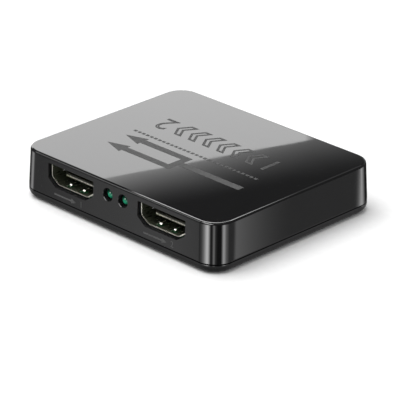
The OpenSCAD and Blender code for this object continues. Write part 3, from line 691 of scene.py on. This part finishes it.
def numeral(sign, size, stroke=0):
    """An ink numeral in the plain built-in letter, lying face up with its middle at the origin."""
    bpy.ops.object.select_all(action="DESELECT")
    bpy.ops.object.text_add()
    bpy.context.object.data.body, bpy.context.object.data.size = sign, size * MM
    bpy.context.object.data.align_x, bpy.context.object.data.align_y = "CENTER", "CENTER"
    bpy.context.object.data.resolution_u = 4
    bpy.ops.object.convert(target="MESH")
    return ink(bpy.context.object, stroke)


def place_print(piece, spot, turn):
    """Turns and moves a print that was made lying at the origin."""
    only(piece)
    piece.rotation_euler, piece.location = turn, Vector(spot) * MM
    bpy.ops.object.transform_apply(location=True, rotation=True, scale=True)
    return piece


ROOF_INK = CASE_H - INK_T
marks = [bar(2, 22, -8.8, -6.8), bar(0, 2, -11.9, -3.7), bar(-14, 0, -11.9, -9.9), bar(-14, 0, -5.7, -3.7),
         lay([(-14, -12.9), (-14, -8.9), (-20, -10.9)]), lay([(-14, -6.7), (-14, -2.7), (-20, -4.7)])]
marks += [bar(x, x + 0.9, -1.6, -0.8) for x in [-20.6 + 1.4 * i for i in range(30)]]
marks += [lay([(x + 2.2, 4), (x - 0.2, 4), (x - 2.2, 7.25), (x - 0.2, 10.5), (x + 2.2, 10.5),
               (x + 0.2, 7.25)], stroke=0.65) for x in (12, 7.2, 2.4, -2.4, -7.2, -12)]
for piece in marks:
    place_print(piece, (0, 0, ROOF_INK), (0, 0, 0))
marks += [place_print(numeral(sign, 9.2, stroke=0.4), (x, 7.25, ROOF_INK), (0, 0, pi))
          for sign, x in (("1", 17.5), ("2", -17.8))]
roof_sign = join("roof_sign_print", *marks)
settle(roof_sign, grey_ink, None)

# The roof's ink again, painted a paler grey for the labels on the front face: painted light.
front_ink_painted_lighter = speckled("grey_ink_painted_lighter_pad_print", "#4E4E4E", "#585858", 0.5, 0.5, 0.6, shine=0.1)
LABEL_Z = 3.85
for sign, x in (("1", -OUTPUT_X), ("2", OUTPUT_X)):
    shaft, head = bar(-5.6, 0.4, -0.2, 0.2), lay([(0.4, -0.65), (2.0, 0), (0.4, 0.65)])
    digit = numeral(sign, 2.2)
    place_print(digit, (3.8, 0, 0), (0, 0, 0))
    label = join(f"output_{sign}_label_print", shaft, head, digit)
    place_print(label, (x, -CASE_D / 2 + (LABEL_Z - SEAM_Z) * LEAN, LABEL_Z), (pi / 2 - atan(LEAN), 0, 0))
    settle(label, front_ink_painted_lighter, None)


# Case screws: four self-tapping screws with low round heads and a cross drive, sunk in the base. Zinc-plated
# steel, cold-headed and thread-rolled, driven up through the posts and the board into the bosses.

SCREW_R, HEAD_R, HEAD_SINK, HEAD_H, TIP_LEN = 1.0, 1.8, 0.5, 1.2, 0.8
DRIVE_REACH, DRIVE_HALF, DRIVE_DEPTH = 1.1, 0.25, 0.7

# Bright zinc plate on steel: a cool grey metal with a fine mottle.
zinc = speckled("zinc_plated_steel_headed", "#9A9C9E", "#C0C2C4", 0.2, 0.25, 0.4, metal=1.0)
screw = rod("screw", (0, 0, HEAD_SINK), HEAD_R, HEAD_H)
edit(screw)
pick("EDGE", lambda at, way: at.z < HEAD_SINK + 0.01)
bevel(0.35, 4)
pick("FACE", lambda at, way: way.z > 0.9)
bpy.ops.mesh.inset(thickness=(HEAD_R - SCREW_R) * MM)
pull(0, 0, SCREW_TIP_Z - HEAD_SINK - HEAD_H - TIP_LEN)
pull(0, 0, TIP_LEN)
bpy.ops.transform.resize(value=(0.15, 0.15, 1))
done()
for x, y in ((DRIVE_REACH, DRIVE_HALF), (DRIVE_HALF, DRIVE_REACH)):
    combine(screw, block("drive", (-x, -y, HEAD_SINK - 1), (x, y, HEAD_SINK + DRIVE_DEPTH)))
smooth(screw)
screws = []
for x, y in boss_places:
    only(screw)
    bpy.ops.object.duplicate()
    bpy.context.object.location = Vector((x, y, 0)) * MM
    bpy.ops.object.transform_apply(location=True, rotation=True, scale=True)
    screws.append(bpy.context.object)
bpy.data.objects.remove(screw, do_unlink=True)
screws = join("case_screws_headed", *screws)
settle(screws, zinc, "screw_steel", "case_screws")


# Studio: a plain pale floor, one large soft light above, a graded panel behind that the roof mirrors, a ring
# of strip lights for the polished walls, and soft boxes for the roof's edge and the metal of the sockets.

FLOOR_Z = -0.05

# Pale paper: nearly white, with the faint 1.5 mm cloud of its fibres.
sweep, tree = new_material("pale_paper_floor")
spot = add(tree, "ShaderNodeTexCoord").outputs["Object"]
fibre = add(tree, "ShaderNodeTexNoise", {"Vector": spot, "Scale": 1 / (1.5 * MM), "Detail": 4})
tone = add(tree, "ShaderNodeValToRGB", {"Fac": fibre.outputs["Fac"]})
tone.color_ramp.elements[0].color, tone.color_ramp.elements[1].color = linear("#F4F4F4"), linear("#FBFBFB")
paper = add(tree, "ShaderNodeBsdfPrincipled", {"Base Color": tone.outputs["Color"], "Roughness": 0.9,
                                               "Specular IOR Level": 0.1})
add(tree, "ShaderNodeOutputMaterial", {"Surface": paper.outputs["BSDF"]})
bpy.ops.object.select_all(action="DESELECT")
bpy.ops.mesh.primitive_plane_add(size=6, location=(0, 0, FLOOR_Z * MM))
floor = bpy.context.object
floor.name = "floor"
floor.data.materials.append(sweep)
floor.visible_glossy = False


def hoop(name, radius, low, high):
    """Adds an open upright cylinder round the part, in millimetres."""
    bpy.ops.object.select_all(action="DESELECT")
    bpy.ops.mesh.primitive_cylinder_add(vertices=180, radius=radius * MM, depth=(high - low) * MM,
                                        end_fill_type="NOTHING", location=(0, 0, (low + high) / 2 * MM))
    bpy.ops.object.transform_apply(location=True, rotation=True, scale=True)
    bpy.context.object.name = name
    return bpy.context.object


def hang(piece, made, tree, strength, colour=(1, 1, 1, 1)):
    """Makes a stage piece glow, and lets only mirrored light see it."""
    glow = add(tree, "ShaderNodeEmission", {"Color": colour, "Strength": strength})
    add(tree, "ShaderNodeOutputMaterial", {"Surface": glow.outputs["Emission"]})
    made.cycles.emission_sampling = "NONE"
    piece.data.materials.append(made)
    piece.visible_camera = piece.visible_diffuse = piece.visible_shadow = False


# The ring: strips of light by compass angle, where 0 is in front of the outputs and 90 is at the right. The
# edge strip and the far strip light the two ends of the right wall, and are too sharp for a ramp: each has
# the angles where it begins, is full, ebbs and ends, then its level and the power of its rise.
RING_R, RING_LOW = 450, -350
STRIPS = ((-180, 0.02), (-154, 0.03), (-100, 0.05), (-84, 0.32), (-73, 1.8), (-64, 2.3), (-55, 0.47),
          (-46.6, 0.44), (-43.4, 0.68), (-38.4, 0.88), (-37.3, 0.36), (-29, 0.42), (-18, 1.05), (-6.5, 3.2),
          (9, 10.4), (14, 8.3), (23.5, 0.6), (28, 0.12), (33, 0.5), (39.5, 3.2), (46.7, 0.5), (56, 0.08),
          (73, 0.1), (84.5, 6.5), (97, 1.9), (112, 0.42), (128, 0.35), (136.2, 0.34), (150, 0.3), (165, 0.05))
EDGE_STRIP = 129.9, 130.05, 130.05, 133.2, 1.15, 1.0
FAR_STRIP = 136.15, 136.58, 141, 172, 3.65, 3.7
BAND = (0.1, 0), (0.25, 1), (0.7, 1), (0.85, 0)
ring_light, tree = new_material("strip_light_ring")
spot = add(tree, "ShaderNodeTexCoord").outputs["Object"]
split = add(tree, "ShaderNodeSeparateXYZ", {"Vector": spot})
minus_y = add(tree, "ShaderNodeMath", {0: split.outputs["Y"], 1: -1.0}, operation="MULTIPLY")
angle = add(tree, "ShaderNodeMath", {0: split.outputs["X"], 1: minus_y.outputs["Value"]}, operation="ARCTAN2")
turn = add(tree, "ShaderNodeMapRange", {"Value": angle.outputs["Value"], "From Min": -pi, "From Max": pi})
height = add(tree, "ShaderNodeMapRange", {"Value": split.outputs["Z"], "From Min": RING_LOW * MM,
                                          "From Max": 0.0})
strips = add(tree, "ShaderNodeValToRGB", {"Fac": turn.outputs["Result"]})
band = add(tree, "ShaderNodeValToRGB", {"Fac": height.outputs["Result"]})
for ramp, stops in ((strips, [((degrees + 180) / 360, shade) for degrees, shade in STRIPS]), (band, BAND)):
    for index, (place, shade) in enumerate(stops):
        if index < 2:
            element = ramp.color_ramp.elements[index]
            element.position = place
        else:
            element = ramp.color_ramp.elements.new(place)
        element.color = (shade, shade, shade, 1)
level = strips.outputs["Color"]
for *places, peak, power in (EDGE_STRIP, FAR_STRIP):
    begin, full, ebb, end = (radians(degrees) for degrees in places)
    start = add(tree, "ShaderNodeMapRange", {"Value": angle.outputs["Value"],
                                             "From Min": begin, "From Max": full})
    start = add(tree, "ShaderNodeMath", {0: start.outputs["Result"], 1: power}, operation="POWER")
    fall = add(tree, "ShaderNodeMapRange", {"Value": angle.outputs["Value"], "From Min": ebb, "From Max": end,
                                            "To Min": 1.0, "To Max": 0.0})
    fall = add(tree, "ShaderNodeMath", {0: fall.outputs["Result"], 1: 2.0}, operation="POWER")
    strip = add(tree, "ShaderNodeMath", {0: start.outputs["Value"], 1: fall.outputs["Value"]},
                operation="MULTIPLY")
    level = add(tree, "ShaderNodeMath", {0: strip.outputs["Value"], 1: peak, 2: level},
                operation="MULTIPLY_ADD").outputs["Value"]
hang(hoop("strip_light_ring", RING_R, RING_LOW, 0), ring_light, tree, level, band.outputs["Color"])

# The flag: a dark grey cloth hung round the front and the right above the ring, so that the rounded edge of
# the roof stays dark under its bright line.
FLAG_R, FLAG_H, FLAG_END, FLAG_LEVEL = 600, 715, -95, 0.2
flag = hoop("dark_flag", FLAG_R, 0, FLAG_H)
edit(flag)
pick("FACE", lambda at, way: atan2(at.x, -at.y) < radians(FLAG_END))
bpy.ops.mesh.delete(type="FACE")
done()
hang(flag, *new_material("dark_grey_cloth"), FLAG_LEVEL)


def toward(turn, rise):
    """The direction at a compass angle and a rise above the horizon, in degrees."""
    turn, rise = radians(turn), radians(rise)
    return Vector((sin(turn) * cos(rise), -cos(turn) * cos(rise), sin(rise)))


# The panel: bright below a slanting edge, fading above it. The fade is weaker at the right, where the bright
# part ends too.
PANEL_AWAY, PANEL_TURN, PANEL_RISE = 800, -135.55, 23.7
PANEL_HALF_W, PANEL_HALF_H = 500, 330
PANEL_EDGE_Z, PANEL_EDGE_SLANT, FADE_REACH = 0.8, 0.1954, 21.9
PANEL_BRIGHT, PANEL_DARK, FADE_RIGHT, FADE_LEFT = 3.1, 0.08, 0.66, 1.5
FADE_RIGHT_X, FADE_LEFT_X, BRIGHT_END_X, BRIGHT_FULL_X = -60, 50, -62, -56
panel_light, tree = new_material("graded_light_panel")
spot = add(tree, "ShaderNodeTexCoord").outputs["Object"]
ahead = toward(PANEL_TURN, PANEL_RISE)
aside = Vector((cos(radians(PANEL_TURN)), sin(radians(PANEL_TURN)), 0))
above = ahead.cross(aside)
centre = ahead * PANEL_AWAY + Vector((0, 0, CASE_H))
edge_up = (above - aside * PANEL_EDGE_SLANT).normalized()
edge_spot = centre + above * PANEL_EDGE_Z
offset = add(tree, "ShaderNodeVectorMath", {0: spot, 1: edge_spot * MM}, operation="SUBTRACT")
height = add(tree, "ShaderNodeVectorMath", {0: offset.outputs["Vector"], 1: edge_up / MM},
             operation="DOT_PRODUCT")
fade = add(tree, "ShaderNodeMapRange", {"Value": height.outputs["Value"], "From Max": FADE_REACH,
                                        "To Min": 1.0, "To Max": 0.0})
fade = add(tree, "ShaderNodeMath", {0: fade.outputs["Result"], 1: 2.0}, operation="POWER")
side = add(tree, "ShaderNodeVectorMath", {0: offset.outputs["Vector"], 1: aside / MM},
           operation="DOT_PRODUCT")
strength = add(tree, "ShaderNodeMapRange", {"Value": side.outputs["Value"], "From Min": FADE_RIGHT_X,
                                            "From Max": FADE_LEFT_X, "To Min": FADE_RIGHT,
                                            "To Max": FADE_LEFT})
fade = add(tree, "ShaderNodeMath", {0: fade.outputs["Value"], 1: strength.outputs["Result"], 2: PANEL_DARK},
           operation="MULTIPLY_ADD")
lit = add(tree, "ShaderNodeMath", {0: height.outputs["Value"], 1: 0.0}, operation="LESS_THAN")
ends = add(tree, "ShaderNodeMapRange", {"Value": side.outputs["Value"], "From Min": BRIGHT_END_X,
                                        "From Max": BRIGHT_FULL_X})
lit = add(tree, "ShaderNodeMath", {0: lit.outputs["Value"], 1: ends.outputs["Result"]}, operation="MULTIPLY")
level = add(tree, "ShaderNodeMix", {0: lit.outputs["Value"], 2: fade.outputs["Value"], 3: PANEL_BRIGHT})
bpy.ops.object.select_all(action="DESELECT")
bpy.ops.mesh.primitive_plane_add(size=1)
panel = bpy.context.object
panel.name = "graded_light_panel"
for corner, (out, up) in zip(panel.data.vertices, ((-1, -1), (1, -1), (-1, 1), (1, 1))):
    corner.co = (centre + aside * out * PANEL_HALF_W + above * up * PANEL_HALF_H) * MM
hang(panel, panel_light, tree, level.outputs[0])

# The sheet: a soft box above and behind on the left, mirrored as a thin line by the rounded edge of the roof.
# Its lit part stops at a bowed edge on the left, so the line starts half-way along the output face. It dims
# towards the back and the left, where the right edge mirrors it.
SHEET_Z, SHEET_LEVEL = 513, 6.0
BOW_Y, BOW = -27, 0.000736
LINE_START_X, LINE_FULL_X = -435.1, -427.5
BRIGHT_Y, DIM_Y, BRIGHT_X, DIM_X = 412, 460, -100, -350
sheet_light, tree = new_material("upper_soft_box")
split = add(tree, "ShaderNodeSeparateXYZ", {"Vector": add(tree, "ShaderNodeTexCoord").outputs["Object"]})
back = add(tree, "ShaderNodeMath", {0: split.outputs["Y"], 1: -BOW_Y * MM}, operation="ADD")
bow = add(tree, "ShaderNodeMath", {0: back.outputs["Value"], 1: back.outputs["Value"]}, operation="MULTIPLY")
across = add(tree, "ShaderNodeMath", {0: bow.outputs["Value"], 1: BOW / MM, 2: split.outputs["X"]},
             operation="MULTIPLY_ADD")
level = add(tree, "ShaderNodeMapRange", {"Value": across.outputs["Value"], "From Min": LINE_START_X * MM,
                                         "From Max": LINE_FULL_X * MM, "To Min": 0.0,
                                         "To Max": SHEET_LEVEL})
behind = add(tree, "ShaderNodeMapRange", {"Value": split.outputs["Y"], "From Min": BRIGHT_Y * MM,
                                          "From Max": DIM_Y * MM, "To Min": 1.85, "To Max": 0.1})
level = add(tree, "ShaderNodeMath", {0: level.outputs["Result"], 1: behind.outputs["Result"]},
            operation="MULTIPLY")
nearer = add(tree, "ShaderNodeMapRange", {"Value": split.outputs["X"], "From Min": DIM_X * MM,
                                          "From Max": BRIGHT_X * MM, "To Min": 0.72, "To Max": 1.05})
level = add(tree, "ShaderNodeMath", {0: level.outputs["Value"], 1: nearer.outputs["Result"]},
            operation="MULTIPLY")
sheet = join("upper_soft_box", block("sheet_left", (-1200, 20, SHEET_Z), (-130, 620, SHEET_Z + 1)),
             block("sheet_back", (-130, 390, SHEET_Z), (80, 620, SHEET_Z + 1)))
hang(sheet, sheet_light, tree, level.outputs["Value"])

# The cards: two small soft boxes in front of the outputs. The left one is mirrored by the spring fingers and
# the front edge of the roof, the right one by the lower left rims of the sockets and of the lamps.
CARD_AWAY = 500
for name, turn, rise, roll, wide, high, level in (("soft_box_left", -48, 30, 0, 190, 60, 7.0),
                                                  ("soft_box_right", 4, 42, -28, 480, 200, 9.0)):
    bpy.ops.object.select_all(action="DESELECT")
    bpy.ops.mesh.primitive_plane_add(size=1)
    card = bpy.context.object
    card.name = name
    card.scale = (wide * MM, high * MM, 1)
    card.rotation_euler = (toward(turn, rise).to_track_quat("Z", "Y").to_matrix()
                           @ Matrix.Rotation(radians(roll), 3, "Z")).to_euler()
    card.location = toward(turn, rise) * CARD_AWAY * MM
    bpy.ops.object.transform_apply(location=True, rotation=True, scale=True)
    hang(card, *new_material(name), level)

# The mat: the shaded strip of floor close round the base, as the polished wall just above it mirrors it.
MAT_MARGIN, SHADE_FROM, SHADE_TO = 4.8, CORNER_R - 1.5, CORNER_R + 2.5
mat_dark, tree = new_material("shaded_floor_mat")
spot = add(tree, "ShaderNodeTexCoord").outputs["Object"]
folded = add(tree, "ShaderNodeVectorMath", {0: spot}, operation="ABSOLUTE")
axis = (CASE_W / 2 - CORNER_R) * MM, (CASE_D / 2 - CORNER_R) * MM, 1
past_axis = add(tree, "ShaderNodeVectorMath", {0: folded.outputs["Vector"], 1: axis}, operation="SUBTRACT")
outward = add(tree, "ShaderNodeVectorMath", {0: past_axis.outputs["Vector"], 1: (0, 0, 0)},
              operation="MAXIMUM")
reach = add(tree, "ShaderNodeVectorMath", {0: outward.outputs["Vector"]}, operation="LENGTH")
level = add(tree, "ShaderNodeMapRange", {"Value": reach.outputs["Value"], "From Min": SHADE_FROM * MM,
                                         "From Max": SHADE_TO * MM, "To Min": 0.04, "To Max": 0.5})
mat = block("shaded_floor_mat", (-CASE_W / 2 - MAT_MARGIN, -CASE_D / 2 - MAT_MARGIN, FLOOR_Z - 1),
            (CASE_W / 2 + MAT_MARGIN, CASE_D / 2 + MAT_MARGIN, FLOOR_Z - 0.01))
edit(mat)
pick("EDGE", lambda at, way: abs(way.z) > 0.9)
bevel(CORNER_R + MAT_MARGIN, 12)
done()
hang(mat, mat_dark, tree, level.outputs["Result"])

# The sky and the key: an even white all round, and one large soft light above on the left.
SKY_LEVEL, KEY_PLACE, KEY_SIZE, KEY_POWER = 0.55, (-250, -150, 900), 900, 9
world = bpy.data.worlds.new("studio")
bpy.context.scene.world = world
world.use_nodes = True
world.node_tree.nodes["Background"].inputs["Color"].default_value = (1, 1, 1, 1)
world.node_tree.nodes["Background"].inputs["Strength"].default_value = SKY_LEVEL

bpy.ops.object.light_add(type="AREA", location=Vector(KEY_PLACE) * MM)
key = bpy.context.object
key.name = "soft_key"
key.data.shape, key.data.size, key.data.size_y = "RECTANGLE", KEY_SIZE * MM, KEY_SIZE * MM
key.data.energy = KEY_POWER
key.visible_glossy = False
key.rotation_euler = (-key.location).to_track_quat("-Z", "Y").to_euler()


# Camera: the photograph's view of the output face, from the right and above, with a long lens.

CAMERA_TURN, CAMERA_RISE, CAMERA_AWAY, CAMERA_ROLL = 44.45, 24.44, 666.28, 0.56
SHIFT_ACROSS, SHIFT_UP, SHIFT_Z = 0.67, 0.33, -0.18
FOCAL_PX, FRAME_PX, SENSOR_MM = 2747.39, 400, 36
away = toward(CAMERA_TURN, CAMERA_RISE)
across = Vector((cos(radians(CAMERA_TURN)), sin(radians(CAMERA_TURN)), 0))
upright = away.cross(across)
bpy.ops.object.camera_add(location=(across * SHIFT_ACROSS + upright * SHIFT_UP + away * CAMERA_AWAY
                                    + Vector((0, 0, SHIFT_Z))) * MM)
camera = bpy.context.object
camera.name = "camera"
camera.rotation_euler = (Matrix((across, upright, away)).transposed()
                         @ Matrix.Rotation(radians(CAMERA_ROLL), 3, "Z")).to_euler()
camera.data.sensor_width = SENSOR_MM
camera.data.lens = FOCAL_PX / FRAME_PX * SENSOR_MM
camera.data.clip_end = 20
bpy.context.scene.camera = camera
bpy.context.scene.view_settings.view_transform = "Standard"
